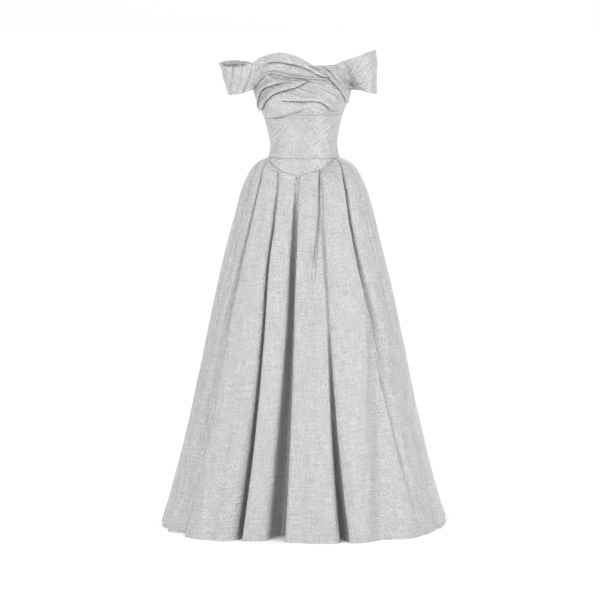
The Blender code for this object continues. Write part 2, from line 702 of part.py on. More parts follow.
def zip_pull(finish):
    """The pull tab, a flat drop with an eye. Its origin is the middle of the eye's top bar, which it turns on."""
    half, eye = PULL_WIDTH / 2, PULL_WIDTH / 2 - PULL_ARM
    bar = PULL_ARM / 2
    outer = [(-half * 0.7, bar), (half * 0.7, bar), (half, -bar), (half * 0.8, -PULL_EYE - PULL_ARM)]
    outer += [(half, -PULL_LENGTH + half), (half * 0.6, -PULL_LENGTH), (-half * 0.6, -PULL_LENGTH)]
    outer += [(-half, -PULL_LENGTH + half), (-half * 0.8, -PULL_EYE - PULL_ARM), (-half, -bar)]
    inner = [(-eye, -bar), (eye, -bar), (eye, -bar * 2), (eye, -PULL_EYE * 0.8), (eye * 0.9, -PULL_EYE)]
    inner += [(eye * 0.4, -PULL_EYE), (-eye * 0.4, -PULL_EYE), (-eye * 0.9, -PULL_EYE), (-eye, -PULL_EYE * 0.8)]
    inner += [(-eye, -bar * 2)]
    front, rear = PULL_THICK / 2, -PULL_THICK / 2
    shape = bmesh.new()
    rings = []
    for loop, y in ((outer, rear), (outer, front), (inner, front), (inner, rear)):
        rings.append([shape.verts.new((x, y, z)) for x, z in loop])
    for ring, after in zip(rings, rings[1:] + rings[:1]):
        for k in range(len(ring)):
            m = (k + 1) % len(ring)
            shape.faces.new((ring[k], ring[m], after[m], after[k]))
    bmesh.ops.recalc_face_normals(shape, faces=shape.faces)
    made = as_object("zip_pull", shape, finish)
    middle, face, _ = on_figure(180, SLIDER_MIDDLE, WALL + SEAM_GAP)
    space_floor = SLIDER_MIDDLE - BRIDGE_HEIGHT / 2 + BRIDGE_BAR
    made.location = (middle, face + SLIDER_DEPTH + BRIDGE_SPACE / 2, space_floor + BRIDGE_SPACE / 2)


def main():
    clear_scene()
    silver = material("silver_jacquard", SILVER, 0.45, 0.35)
    skirt(silver)
    yoke(silver)
    waist_panel(silver)
    bodice_back(silver)
    bust_drape(silver)
    neck_and_left_sleeve(silver)
    right_wrap(silver)
    right_sleeve(silver)
    zip_tape(material("zip_tape", ZIP_GREY, 0.6, 0.0))
    metal = material("zip_metal", ZIP_GREY, 0.35, 0.8)
    zip_slider(metal)
    zip_pull(metal)


main()
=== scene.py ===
"""The gown's look: each cloth piece as a thin sheet on the solids' form, with its folds, hems and weave.

Metres, +Z up. The front faces -Y. Angles are in degrees: 0 at the centre front, positive towards +X,
180 at the centre back. A grid holds points by column, in the direction of growing angles, and by row,
upwards.
"""

import math

import bpy
import numpy as np
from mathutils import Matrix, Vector


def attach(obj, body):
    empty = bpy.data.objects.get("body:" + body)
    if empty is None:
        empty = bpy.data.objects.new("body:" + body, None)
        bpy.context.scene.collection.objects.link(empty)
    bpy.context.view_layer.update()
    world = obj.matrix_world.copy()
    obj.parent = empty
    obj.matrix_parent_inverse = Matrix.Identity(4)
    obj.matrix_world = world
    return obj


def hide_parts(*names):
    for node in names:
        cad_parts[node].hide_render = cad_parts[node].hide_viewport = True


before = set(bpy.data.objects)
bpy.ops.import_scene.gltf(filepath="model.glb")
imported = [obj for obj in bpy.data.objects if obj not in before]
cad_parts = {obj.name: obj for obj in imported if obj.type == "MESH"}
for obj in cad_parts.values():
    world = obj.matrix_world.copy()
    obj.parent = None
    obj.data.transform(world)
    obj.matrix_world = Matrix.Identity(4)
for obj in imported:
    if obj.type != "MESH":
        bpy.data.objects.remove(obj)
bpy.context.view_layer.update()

WALL = 0.002
SEAM_GAP = 0.0003
LAP_GAP = 0.0009
LAP_EDGE = 0.003
HEM_HEIGHT = -1.165
SIDE_SEAM = 90
# A panel on the form stops this many degrees short of its side seam.
SEAM_INSET = 0.08
# The form leans sideways by this share of its height, and its rings are a little squarer than ellipses.
LEAN = -0.03
ROUNDNESS = 2 / 2.2
# Metres round the form for each degree, for seams and for swells, at the waist and at the bust.
WAIST_ARC = 0.0019
BUST_ARC = 0.0024
WAIST_SWELL_ARC = 0.0018
BUST_SWELL_ARC = 0.0021

# The hollow form that the bodice and the yoke follow: height, half width, front depth, back depth.
FIGURE = [
    (-0.060, 0.130, 0.1035, 0.092),
    (0.000, 0.112, 0.094, 0.086),
    (0.022, 0.106, 0.091, 0.082),
    (0.045, 0.104, 0.091, 0.081),
    (0.085, 0.111, 0.096, 0.084),
    (0.117, 0.119, 0.104, 0.087),
    (0.149, 0.130, 0.120, 0.090),
    (0.175, 0.142, 0.128, 0.093),
    (0.200, 0.150, 0.124, 0.095),
    (0.225, 0.155, 0.114, 0.097),
    (0.260, 0.155, 0.101, 0.098),
    (0.300, 0.149, 0.090, 0.095),
    (0.335, 0.141, 0.083, 0.091),
]

# How far the skirt stands out past its seam: share of the way down, at the side, the front, the back.
FLARE = [
    (0.000, 0.000, 0.000, 0.000),
    (0.010, 0.028, 0.003, 0.022),
    (0.026, 0.050, 0.008, 0.040),
    (0.053, 0.069, 0.017, 0.058),
    (0.094, 0.089, 0.029, 0.079),
    (0.177, 0.115, 0.050, 0.108),
    (0.260, 0.139, 0.074, 0.136),
    (0.424, 0.184, 0.119, 0.184),
    (0.589, 0.222, 0.162, 0.228),
    (0.754, 0.265, 0.208, 0.272),
    (0.918, 0.313, 0.254, 0.320),
    (1.000, 0.341, 0.278, 0.345),
]

YOKE_DEPTH = 0.053
YOKE_HALF_ANGLE = 70
YOKE_POWER = 1.25
YOKE_END = 0.002

# Skirt folds, each at the shares of the way down in FOLD_STOPS: angle, half width in mm, depth in mm, and
# the radius in mm of its left and right lip at the hem. A soft fold is a round trough and has no lips.
FOLD_STOPS = (0, 0.012, 0.026, 0.05, 0.13, 0.25, 0.45, 1)
FRONT_FOLDS = [
    ("soft",
     (-78, -69, -64, -62, -62, -63, -66, -68),
     (4, 5, 6, 8, 10, 18, 28, 40),
     (2, 4, 6, 6, 6, 6, 6, 10),
     0, 0),
    ("soft",
     (-62, -51, -45, -41, -39.5, -41, -42.5, -41),
     (4.5, 5, 5.5, 5.5, 7, 12, 26, 58),
     (8, 14, 18, 18, 17, 20, 28, 38),
     0, 0),
    ("pleat",
     (-29, -22, -20, -18, -17.3, -18, -15.6, -14.6),
     (3, 3, 3, 3.2, 3.5, 3.9, 4.6, 9),
     (5, 5, 6, 7, 14, 28, 37, 80),
     24, 7),
    ("pleat",
     (-0.3, -0.3, -0.5, -0.5, -0.8, -0.8, -0.6, -1.6),
     (3, 3.2, 3.4, 3.6, 4.4, 6, 8.5, 22),
     (5, 7, 8, 10, 26, 44, 64, 115),
     34, 6),
    ("pleat",
     (30, 25, 23, 21.5, 20, 20.3, 21, 23.5),
     (2.2, 2.6, 2.8, 2.8, 2.8, 2.8, 3.2, 10),
     (2, 4, 5, 5, 5, 6, 9, 80),
     24, 5),
    ("soft",
     (70, 60, 54, 50, 46.3, 48, 54.5, 60),
     (5, 6, 6.5, 7, 7.5, 10, 18, 30),
     (8, 16, 24, 29, 30, 23, 15, 5),
     0, 0),
    ("soft",
     (84, 77, 73, 70, 69, 71, 76, 78),
     (4, 5, 6, 8, 10, 16, 24, 34),
     (2, 3, 4, 6, 5, 5, 6, 8),
     0, 0),
]
BACK_FOLDS = [
    ("soft",
     (103, 103.3, 103.6, 104, 104, 104.4, 105, 106),
     (4, 4.5, 5, 6, 8, 12, 20, 34),
     (4, 6, 8, 11, 13, 18, 30, 50),
     0, 0),
    ("pleat",
     (126, 126, 126, 126, 126, 126.4, 127, 128),
     (4, 4.3, 4.6, 5, 6, 9, 14, 24),
     (5, 6, 7, 9, 14, 24, 40, 85),
     14, 14),
    ("pleat",
     (150, 150, 150, 150, 150, 150.4, 151, 152),
     (4, 4.3, 4.6, 5, 6, 9, 14, 24),
     (5, 6, 7, 9, 14, 24, 40, 85),
     14, 14),
]
# Shallow hollows between the folds, and ridges where the depth is below 0: angle, half width and depth in
# mm at the same stops.
HOLLOWS = [
    ((-74, -70, -62, -57, -56, -56, -56, -54),
     (4, 5, 5.5, 6, 7, 10, 18, 30),
     (2, 8, 13, 16, 15, 11, 8, 10)),
    ((-40, -33, -29, -26, -24.5, -23.5, -21, -19),
     (4, 5, 6, 7, 9, 12, 15, 20),
     (0, 0, -1, -1.5, -2, -3, -4, -8)),
    ((-12, -10, -9.5, -9, -8.6, -8.4, -8, -7.6),
     (3, 3, 4, 5, 7, 9, 12, 16),
     (0, 0, 0.5, 1, 1.5, 2.5, 3, 4)),
    ((30, 23.8, 21.8, 20, 17.4, 13.2, 9, 9),
     (2.5, 2.5, 2.5, 2.5, 2.8, 3.6, 8, 10),
     (4, 5, 7, 9, 11, 8, 1, 0)),
    ((44, 34, 31, 28.5, 26, 26, 27, 28),
     (4, 5, 6, 8, 10, 14, 20, 24),
     (0, 0, -1, -1.5, -2, -3, -4, -5)),
    ((70, 60, 56, 54, 50, 50, 52, 40),
     (9, 9, 9, 9, 12, 20, 36, 62),
     (0, 0, 0, 0, 1, 3, 12, 34)),
]
LEFT_BACK_FOLDS = [
    (kind, tuple(-a for a in angles), halves, depths, right, left)
    for kind, angles, halves, depths, left, right in reversed(BACK_FOLDS)
]
FOLDS = LEFT_BACK_FOLDS + FRONT_FOLDS + BACK_FOLDS
# The front and back are fuller halfway to the sides: by this share of their reach, at the hem.
HEM_BULGE = 0.13
# Heights of the skirt's long and short swells, and depths of its hem stitching and its seams.
LONG_SWELL = 0.0022
SHORT_SWELL = 0.0008
HEM_STITCH = 0.0007
SIDE_SEAM_SINK = 0.0012
TOP_SEAM_SINK = 0.0016
# The hem swings out at these angles: the angle, half the width in degrees, and the share of the reach.
HEM_LOBES = [(-24, 18, 0.095), (9, 15, 0.055)]
# The cloth beside a pleat rounds off towards it: by this share of its depth, over so many half widths.
SHOULDER_SHARE = 0.10
SHOULDER_REACH = 3.0
# The share of a pleat's columns on each lip, and how far its walls bulge behind the lips.
LIP_SHARE = 0.25
PLEAT_BELLY = 0.22
FOLD_COLUMNS = {"soft": 21, "pleat": 37}
PANEL_COLUMNS = 30

# Creases at the midriff's left side: height at the side, height farther in, slant and size.
WAIST_CREASES = [
    (0.104, 0.118, 0.020, 0.0010),
    (0.083, 0.092, 0.014, 0.0007),
    (0.036, 0.040, 0.008, 0.0008),
    (0.012, 0.006, 0.000, 0.0013),
]

# Lines across the bust, as (angle, height): the seam below it, then the draped folds from low to high.
UNDERBUST = [(-90, 0.127), (-56, 0.127), (-31, 0.126), (-15, 0.131), (0, 0.134), (58, 0.136), (90, 0.141)]
LOW_FOLD = [(-90, 0.129), (-31, 0.129), (-15, 0.136), (-1, 0.146), (11, 0.156), (30, 0.162), (90, 0.150)]
MIDDLE_FOLD = [
    (-90, 0.140), (-56, 0.150), (-25, 0.180), (6, 0.182), (28, 0.181), (41, 0.167), (52, 0.150), (90, 0.154)
]
TUCK_LOW = [
    (-90, 0.146), (-56, 0.157), (-38, 0.183), (-22, 0.206), (-8, 0.218),
    (1, 0.226), (13, 0.244), (40, 0.236), (90, 0.190),
]
TUCK_HIGH = [
    (-90, 0.150), (-66, 0.158), (-54, 0.190), (-44, 0.214), (-30, 0.229),
    (-5, 0.241), (13, 0.247), (40, 0.240), (90, 0.196),
]
BUST_TOP = [
    (-90, 0.214), (-72, 0.236), (-50, 0.262), (-20, 0.288), (0, 0.284),
    (15, 0.272), (36, 0.262), (60, 0.260), (90, 0.231),
]
SMALL_TUCK = [(-90, 0.262), (-34, 0.2585), (-15, 0.253), (-2, 0.2475), (10, 0.249), (90, 0.250)]
TINY_TUCK = [(-90, 0.262), (-20, 0.262), (-8, 0.256), (4, 0.254), (90, 0.254)]
# Each draped fold: its line, its height, the angles between which it rises and dies away, and how far above
# its line it has gone flat. Its lip rounds off within FOLD_LIP, the cloth below it sinks by FOLD_SINK of its
# height, and the lip hangs over the line by FOLD_HANG of it. FOLD_LIMITS holds the sum of all the folds.
FOLD_LIP = 0.0008
FOLD_SINK = 0.5
FOLD_HANG = 0.45
FOLD_LIMITS = (-0.0032, 0.0088)
BUST_FOLDS = [
    (LOW_FOLD, 0.0062, (-70, -50, 2, 22), 0.036),
    (MIDDLE_FOLD, 0.0062, (-28, -4, 58, 68), 0.036),
    (TUCK_LOW, 0.0076, (-100, -80, 12, 24), 0.028),
    (TUCK_HIGH, 0.0064, (-80, -60, -30, 2), 0.022),
    (SMALL_TUCK, 0.0036, (-38, -28, 4, 12), 0.010),
    (TINY_TUCK, 0.0022, (-20, -14, -6, 2), 0.005),
]
BACK_TOP = [(90, 0.222), (125, 0.234), (180, 0.238)]

# Left neck drape on the form: angle, and heights of its lower edge, of the line under its roll and of its
# upper edge.
NECK_DRAPE = [
    (42, 0.249, 0.252, 0.257),
    (33, 0.247, 0.255, 0.264),
    (24, 0.248, 0.263, 0.279),
    (14, 0.249, 0.278, 0.298),
    (4, 0.253, 0.290, 0.314),
    (-6, 0.258, 0.297, 0.325),
    (-18, 0.265, 0.302, 0.329),
    (-30, 0.266, 0.300, 0.326),
    (-41, 0.253, 0.290, 0.320),
]
# The heights of the roll and of the cloth below it, how deep the line between them is sunk, and how far the
# roll hangs over it. The sleeve has soft folds, and the whole band has creases, of these heights.
ROLL_HEIGHT = 0.0095
BAND_HEIGHT = 0.0045
LINE_SINK = 0.0026
ROLL_HANG = 0.0045
SLEEVE_FOLD = 0.0038
BAND_CREASE = 0.0012
ROLL_ALONG = [(0, 0.55), (0.05, 0.8), (0.17, 1), (0.34, 1), (0.47, 0.3), (0.60, 0), (1, 0)]
BAND_ALONG = [(0, 0), (0.08, 0.6), (0.22, 1), (0.40, 0.9), (0.52, 0.3), (0.64, 0), (1, 0)]
# The roll's section: share of its width, share of its height.
ROLL_SECTION = [(0, 0), (0.06, 0.62), (0.18, 0.92), (0.45, 1), (0.75, 0.84), (1, 0.5)]
LEFT_BAND_WIDTH = 0.09
RIGHT_BAND_WIDTH = 0.11
# The solid's columns along the neck, round the arm and on the back, which ROLL_ALONG and BAND_ALONG go by.
NECK_COLUMNS = 24
ARM_COLUMNS = 23
BACK_COLUMNS = 3

# Left sleeve round the arm, from front to back: lower edge x, y, z and upper edge x, y, z.
LEFT_SLEEVE = [
    (-0.140, -0.0765, 0.231, -0.1325, -0.0680, 0.312),
    (-0.151, -0.0755, 0.216, -0.1510, -0.0695, 0.298),
    (-0.176, -0.0710, 0.206, -0.184, -0.0670, 0.287),
    (-0.207, -0.0600, 0.200, -0.222, -0.0570, 0.284),
    (-0.231, -0.0370, 0.198, -0.254, -0.0370, 0.288),
    (-0.241, -0.0040, 0.200, -0.270, -0.0070, 0.297),
    (-0.233, 0.032, 0.204, -0.264, 0.028, 0.302),
    (-0.210, 0.056, 0.208, -0.236, 0.058, 0.304),
    (-0.178, 0.072, 0.211, -0.200, 0.080, 0.300),
    (-0.145, 0.082, 0.213, -0.160, 0.094, 0.285),
]
LEFT_SLEEVE_BACK = [(-146, 0.214, 0.256), (-158, 0.217, 0.246)]
RIGHT_SLEEVE_BACK = [(146, 0.214, 0.256), (158, 0.217, 0.246)]

# Right wrap, from the neck down to the side seam: angle and height on its front edge and on its outer edge.
RIGHT_WRAP = [
    (14, 0.291, 50, 0.294),
    (29, 0.272, 56, 0.279),
    (39, 0.247, 65, 0.257),
    (53, 0.220, 78, 0.240),
    (67, 0.197, 89.5, 0.228),
    (84, 0.171, 89.5, 0.186),
]
# A ridge runs along its front edge over WRAP_RIDGE_SHARE of its width, and it rises over the roll's end. The
# sleeve is sewn to WRAP_SEWN of its outer edge and starts SEAM_LAP degrees inside it.
WRAP_RIDGE = 0.0066
OVER_ROLL = 0.0045
WRAP_RIDGE_SHARE = 0.28
WRAP_SEWN = 0.8
SEAM_LAP = 1

# Right sleeve round the arm, from front to back, as the left one, with its folds' and creases' heights.
RIGHT_FOLD = 0.0034
RIGHT_CREASE = 0.0012
RIGHT_SLEEVE = [
    (0.168, -0.022, 0.224, 0.133, -0.0665, 0.303),
    (0.184, -0.037, 0.218, 0.154, -0.0680, 0.310),
    (0.200, -0.045, 0.2115, 0.180, -0.0665, 0.318),
    (0.2145, -0.046, 0.2075, 0.206, -0.0585, 0.329),
    (0.226, -0.032, 0.2045, 0.2250, -0.042, 0.3375),
    (0.232, -0.004, 0.203, 0.232, -0.010, 0.3375),
    (0.224, 0.030, 0.206, 0.223, 0.028, 0.325),
    (0.203, 0.056, 0.209, 0.200, 0.060, 0.310),
    (0.173, 0.074, 0.211, 0.172, 0.082, 0.298),
    (0.142, 0.084, 0.213, 0.145, 0.095, 0.282),
]

# Concealed zip inside the centre back.
ZIP_TOP = 0.226
ZIP_LOW_SHARE = 0.11
TAPE_WIDTH = 0.022
TAPE_GAP = 0.0006
TAPE_SAG = 0.035
TOOTH_PITCH = 0.0022
# A tooth's rings: how far each lies towards the other side of the zip, and its radius.
TOOTH_RINGS = [(-0.0010, 0.0004), (-0.0006, 0.0006), (0.0014, 0.0005)]
TOOTH_SIDES = 8
TOOTH_OUT = 0.0019
TOOTH_SHIFT = 0.0008

HEM_ROLL = 0.0009
HEM_TURN = 0.010

# The cloth: its colour, the share of flecks and of creases in the relief of the skirt's cloth and of the
# bodice's, cut on the bias, and the sizes of its noises in metres across and along.
SILVER = (0.57, 0.56, 0.565)
STRAIGHT_RELIEF = (1.0, 1.0)
BIAS_RELIEF = (0.45, 1.7)
UPRIGHT_THREAD = (0.0032, 0.060)
LEVEL_THREAD = (0.060, 0.0036)
CRUSHED_CELL = (0.0048, 0.0058)
LONG_CREASE = (0.070, 0.011)
DULL_PATCH = (0.040, 0.110)
RELIEF_DEPTH = 0.0014

# The studio. The camera stands 11 degrees to the gown's side, and a little above its waist.
SQUARE = [(-1, -1), (1, -1), (1, 1), (-1, 1)]
FLOOR_HALF = 300
FLOOR_DROP = 0.001
LIGHT_TARGET = (0, 0, -0.4)
# The world's brightness: its level, and how it grows towards the back and upwards.
WORLD_LEVEL = 0.56
WORLD_SLOPE = (0, 0.45, 0.75)
CAMERA_TURN = math.radians(11)
CAMERA_DISTANCE = 9
CAMERA_HEIGHT = 0.45
CAMERA_LENS = 170.2
TARGET_SIDE = -0.0128
TARGET_HEIGHT = -0.4555


def curve(stops, values, x):
    """The values at x on a smooth curve through the stops. A value may itself be an array."""
    stops, values, x = (np.asarray(a, float) for a in (stops, values, x))
    x = np.clip(x, stops[0], stops[-1])
    places = np.arange(len(stops))
    before, after = np.maximum(places - 1, 0), np.minimum(places + 1, len(stops) - 1)
    extra = (1,) * (values.ndim - 1)
    slopes = (values[after] - values[before]) / (stops[after] - stops[before]).reshape(-1, *extra)
    i = np.clip(np.searchsorted(stops, x) - 1, 0, len(stops) - 2)
    span = (stops[i + 1] - stops[i]).reshape(x.shape + extra)
    s = (x - stops[i]).reshape(x.shape + extra) / span
    rise = s * s * (3 - 2 * s)
    bend = slopes[i] * s * (1 - s) ** 2 - slopes[i + 1] * s * s * (1 - s)
    return values[i] * (1 - rise) + values[i + 1] * rise + span * bend


def column(table, index, x):
    return curve([row[0] for row in table], [row[index] for row in table], x)


def height_on(line, angle):
    return column(line, 1, angle)


def ramp(x, start, end):
    """0 before start, 1 after end, smooth between."""
    s = np.clip((x - start) / (end - start), 0, 1)
    return s * s * (3 - 2 * s)


def near(distance, width):
    return np.exp(-((distance / width) ** 2))


def ripple(u, v, across, along, seed, waves=5):
    """A soft, irregular swell between -1 and 1: waves of about those lengths, laid over each other."""
    chance = np.random.default_rng(seed)
    total = 0
    for _ in range(waves):
        stretch_u, stretch_v = chance.uniform(0.7, 1.5, 2)
        slant = chance.uniform(-0.35, 0.35)
        phase = chance.uniform(0, math.tau, 2)
        wave = np.sin(math.tau * (u + slant * v * across / along) / across * stretch_u + phase[0])
        total = total + wave * np.sin(math.pi * v / along * stretch_v + phase[1])
    return total / waves * 1.6


def rounded(value):
    return np.sign(value) * np.abs(value) ** ROUNDNESS


def on_figure(angle, height, out):
    """Points that distance outside the hollow form."""
    angle, height, out = np.broadcast_arrays(*(np.asarray(a, float) for a in (angle, height, out)))
    a = np.radians(angle)
    half = column(FIGURE, 1, height) + out
    depth = np.where(np.cos(a) > 0, column(FIGURE, 2, height), column(FIGURE, 3, height)) + out
    return np.stack([half * rounded(np.sin(a)) + LEAN * height, -depth * rounded(np.cos(a)), height], -1)


def unit(vectors):
    return vectors / np.maximum(np.linalg.norm(vectors, axis=-1, keepdims=True), 1e-12)


def normals(grid):
    return unit(np.cross(np.gradient(grid, axis=0), np.gradient(grid, axis=1)))


def seam(distance, depth=0.0014, width=0.0017):
    """How far the cloth sinks beside a sewn seam."""
    return depth * near(distance, width)


# ---------------------------------------------------------------- cloth pieces from grids


def with_hem(grid, side, turn=HEM_TURN, roll=HEM_ROLL):
    """The grid with its edge on one side rolled over and turned in."""
    lines = grid if side in ("top", "bottom") else grid.swapaxes(0, 1)
    out = normals(grid)
    out = out if side in ("top", "bottom") else out.swapaxes(0, 1)
    step = -1 if side in ("bottom", "start") else 1
    lines, out = lines[:, ::step], out[:, ::step]
    edge, face = lines[:, -1], out[:, -1]
    away = unit(edge - lines[:, -2])
    turns = np.radians((40, 80, 120, 160, 180))
    added = [edge + roll * (away * math.sin(a) - face * (1 - math.cos(a))) for a in turns]
    added += [added[-1] - away * turn / 2, added[-1] - away * turn]
    lines = np.concatenate([lines, np.stack(added, 1)], 1)[:, ::step]
    return lines if side in ("top", "bottom") else lines.swapaxes(0, 1)


def cloth(name, grid, finish, breaks=(), turn=0.0):
    """A sheet through a grid of points. Its weave coordinates are distances on the cloth, in metres."""
    columns, rows = grid.shape[:2]
    across = np.zeros((columns, rows))
    across[1:] = np.cumsum(np.linalg.norm(np.diff(grid, axis=0), axis=-1), 0)
    along = np.zeros((columns, rows))
    along[:, 1:] = np.cumsum(np.linalg.norm(np.diff(grid, axis=1), axis=-1), 1)
    start = np.empty((columns - 1, rows))
    edges = [0, *breaks, columns - 1]
    for k, (first, last) in enumerate(zip(edges, edges[1:])):
        start[first:last] = across[(first + last) // 2] - 0.37 * k
    i, j = np.meshgrid(np.arange(columns - 1), np.arange(rows - 1), indexing="ij")
    corners = [(i, j), (i + 1, j), (i + 1, j + 1), (i, j + 1)]
    faces = np.stack([a * rows + b for a, b in corners], -1).reshape(-1, 4)
    u = np.stack([across[a, b] - start[i, b] for a, b in corners], -1)
    v = np.stack([along[a, b] for a, b in corners], -1)
    mesh = bpy.data.meshes.new(name)
    mesh.from_pydata(grid.reshape(-1, 3).tolist(), [], faces.tolist())
    layer = mesh.uv_layers.new(name="weave")
    spun = np.stack([u * math.cos(turn) - v * math.sin(turn), u * math.sin(turn) + v * math.cos(turn)], -1)
    layer.data.foreach_set("uv", spun.reshape(-1).astype(np.float32))
    mesh.shade_smooth()
    mesh.materials.append(finish)
    made = bpy.data.objects.new(name, mesh)
    bpy.context.scene.collection.objects.link(made)
    return made


def placed(piece, nodes):
    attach(piece, "gown")
    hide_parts(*nodes)


# ---------------------------------------------------------------- skirt


def yoke_edge(angle):
    """Height of the yoke's lower edge. It is 0 past the yoke's ends."""
    share = np.minimum(np.abs(angle) / YOKE_HALF_ANGLE, 1)
    return -YOKE_DEPTH * (1 - share**YOKE_POWER)


def seam_height(angle):
    """Height of the skirt's top edge, just under the yoke or the bodice."""
    below_yoke = np.abs(angle) < YOKE_HALF_ANGLE
    return np.where(below_yoke, np.minimum(yoke_edge(angle), -YOKE_END), 0.0) - SEAM_GAP


def skirt_base(angle, t):
    """Points of the skirt without its folds, t of the way from its seam to the hem."""
    angle, t = np.broadcast_arrays(np.asarray(angle, float), np.asarray(t, float))
    a = np.radians(angle)
    top = seam_height(angle)
    start = on_figure(angle, top, WALL)
    out = np.where(np.cos(a) > 0, column(FLARE, 2, t), column(FLARE, 3, t))
    x = start[..., 0] + column(FLARE, 1, t) * np.sin(a)
    y = start[..., 1] - out * np.cos(a)
    fuller = 1 + HEM_BULGE * t * np.sin(2 * a) ** 2 * np.abs(np.cos(a))
    for middle, half, share in HEM_LOBES:
        fuller = fuller + share * t**2 * near(angle - middle, half)
    return np.stack([x * fuller, y * fuller, top + (HEM_HEIGHT - top) * t], -1)


def fold_at(fold, t):
    """Angle, half width and depth of a fold at each share of the way down, and its lips' radii."""
    angle = curve(FOLD_STOPS, fold[1], t)
    half = curve(FOLD_STOPS, fold[2], t) / 1000
    depth = curve(FOLD_STOPS, fold[3], t) / 1000 * ramp(t, 0, 0.01)
    lips = [np.minimum(r / 1000 * (0.12 + 0.88 * t), depth / 3) for r in fold[4:]]
    return angle, half, depth, lips


def pleat_section(q, half, depth, lips):
    """How far across and how deep a pleat's columns lie, from lip to lip round its bottom."""
    side, w = np.sign(q)[:, None], np.abs(q)[:, None]
    lip = np.where(side < 0, lips[0], lips[1])
    on_lip = w > 1 - LIP_SHARE
    bend = math.pi / 2 * (1 - w) / LIP_SHARE
    down = math.pi / 2 * np.clip(w / (1 - LIP_SHARE), 0, 1)
    across_wall = half * np.sin(down) ** 0.7
    depth_wall = lip + (depth - lip) * np.cos(down) ** 0.8
    down_wall = np.clip((depth_wall - lip) / np.maximum(depth - lip, 1e-6), 0, 1)
    behind = PLEAT_BELLY * half * np.sin(math.pi * down_wall)
    across = np.where(on_lip, half + lip - lip * np.sin(bend), across_wall + behind)
    inward = np.where(on_lip, lip - lip * np.cos(bend), depth_wall)
    return side * across, inward


def skirt_grid(folds, start, end):
    """A skirt panel's points from the hem up to its seam, and the columns in the middle of its pleats."""
    top, middle = np.linspace(0, 0.05, 26), np.linspace(0.05, 0.97, 140)
    t = np.concatenate([top[:-1], middle[:-1], np.linspace(0.97, 1, 16)])
    side_base = skirt_base(start, t)
    gap = np.degrees(SEAM_GAP / 2 / np.hypot(side_base[..., 0], side_base[..., 1]))
    angles, inward, breaks = [], [], []
    edge = start + gap
    shares = np.linspace(0, 1, PANEL_COLUMNS + 2)[:, None]
    # A fold has its own columns, and the panel before it has evenly spread ones.
    for kind, *rest in folds:
        centre, half, depth, lips = fold_at((kind, *rest), t)
        base = skirt_base(centre, t)
        radius = np.hypot(base[..., 0], base[..., 1])
        q = np.linspace(-1, 1, FOLD_COLUMNS[kind])
        if kind == "soft":
            across, down = q[:, None] * half, depth * (1 - q[:, None] ** 2) ** 2
        else:
            across, down = pleat_section(q, half, depth, lips)
        fold_angles = centre + np.degrees(across / radius)
        panel = edge + (fold_angles[0] - edge) * shares
        angles += [panel[:-1], fold_angles]
        inward += [np.zeros_like(panel[:-1]), down]
        if kind == "pleat":
            breaks.append(sum(len(a) for a in angles) - (FOLD_COLUMNS[kind] + 1) // 2)
        edge = fold_angles[-1]
    panel = edge + (end - gap - edge) * shares
    angles = np.concatenate([*angles, panel[1:]])
    inward = np.concatenate([*inward, np.zeros_like(panel[1:])])
    base = skirt_base(angles, t[None, :])
    radius = np.hypot(base[..., 0], base[..., 1])
    # The panels round off towards the pleats, and sink in the hollows.
    for kind, *rest in FOLDS:
        if kind == "pleat":
            centre, half, depth, _ = fold_at((kind, *rest), t)
            turn = (angles - centre + 180) % 360 - 180
            inward = inward + SHOULDER_SHARE * depth * near(np.radians(turn) * radius / half, SHOULDER_REACH)
    for hollow_angles, halves, depths in HOLLOWS:
        centre, half, depth = (curve(FOLD_STOPS, values, t) for values in (hollow_angles, halves, depths))
        inward = inward + depth / 1000 * near(np.radians(angles - centre) * radius * 1000 / half, 1)
    # Swells outside the deep folds, the stitching above the hem and the sunk seams.
    down = -HEM_HEIGHT * t[None, :]
    arc = np.radians(angles) * radius
    swell = LONG_SWELL * ripple(arc, down, 0.085, 0.60, 3) + SHORT_SWELL * ripple(arc, down, 0.034, 0.24, 4)
    inward = inward - swell * ramp(t, 0.02, 0.2)[None, :] * (inward < 0.02)
    inward = inward + HEM_STITCH * near(t * 1.15 - 1.13, 0.0022)[None, :]
    from_seam = np.radians(np.minimum(np.abs(angles - start), np.abs(angles - end))) * radius
    inward = inward + seam(from_seam, SIDE_SEAM_SINK, 0.003)
    inward = inward + seam(down, TOP_SEAM_SINK, 0.0025)
    share = (radius - inward) / radius
    grid = np.stack([base[..., 0] * share, base[..., 1] * share, base[..., 2]], -1)
    grid[:, 0] = on_figure(angles[:, 0], seam_height(angles[:, 0]), WALL - 0.0009)
    return with_hem(grid[:, ::-1], "bottom", 0.018), breaks


def skirt_panel(name, folds, start, end, finish):
    grid, breaks = skirt_grid(folds, start, end)
    placed(cloth(f"cloth_{name}", grid, finish, breaks), [name])


# ---------------------------------------------------------------- bodice


def fitted(angles, low, high, rows, relief, dense=False):
    """A grid on the form between two heights, each a function of the angle."""
    share = np.linspace(0, 1, rows)
    if dense:
        share = (1 - np.cos(math.pi * share)) / 2
    angle = np.asarray(angles, float)[:, None]
    height = low(angle) + (high(angle) - low(angle)) * share[None, :]
    return on_figure(angle, height, WALL + relief(angle, height))


def edge_columns(start, end, count):
    """Angles from one seam to the other, closer together beside the seams."""
    share = np.linspace(0, 1, count)
    share = share - 0.8 / math.tau * np.sin(math.tau * share)
    return start + (end - start) * share


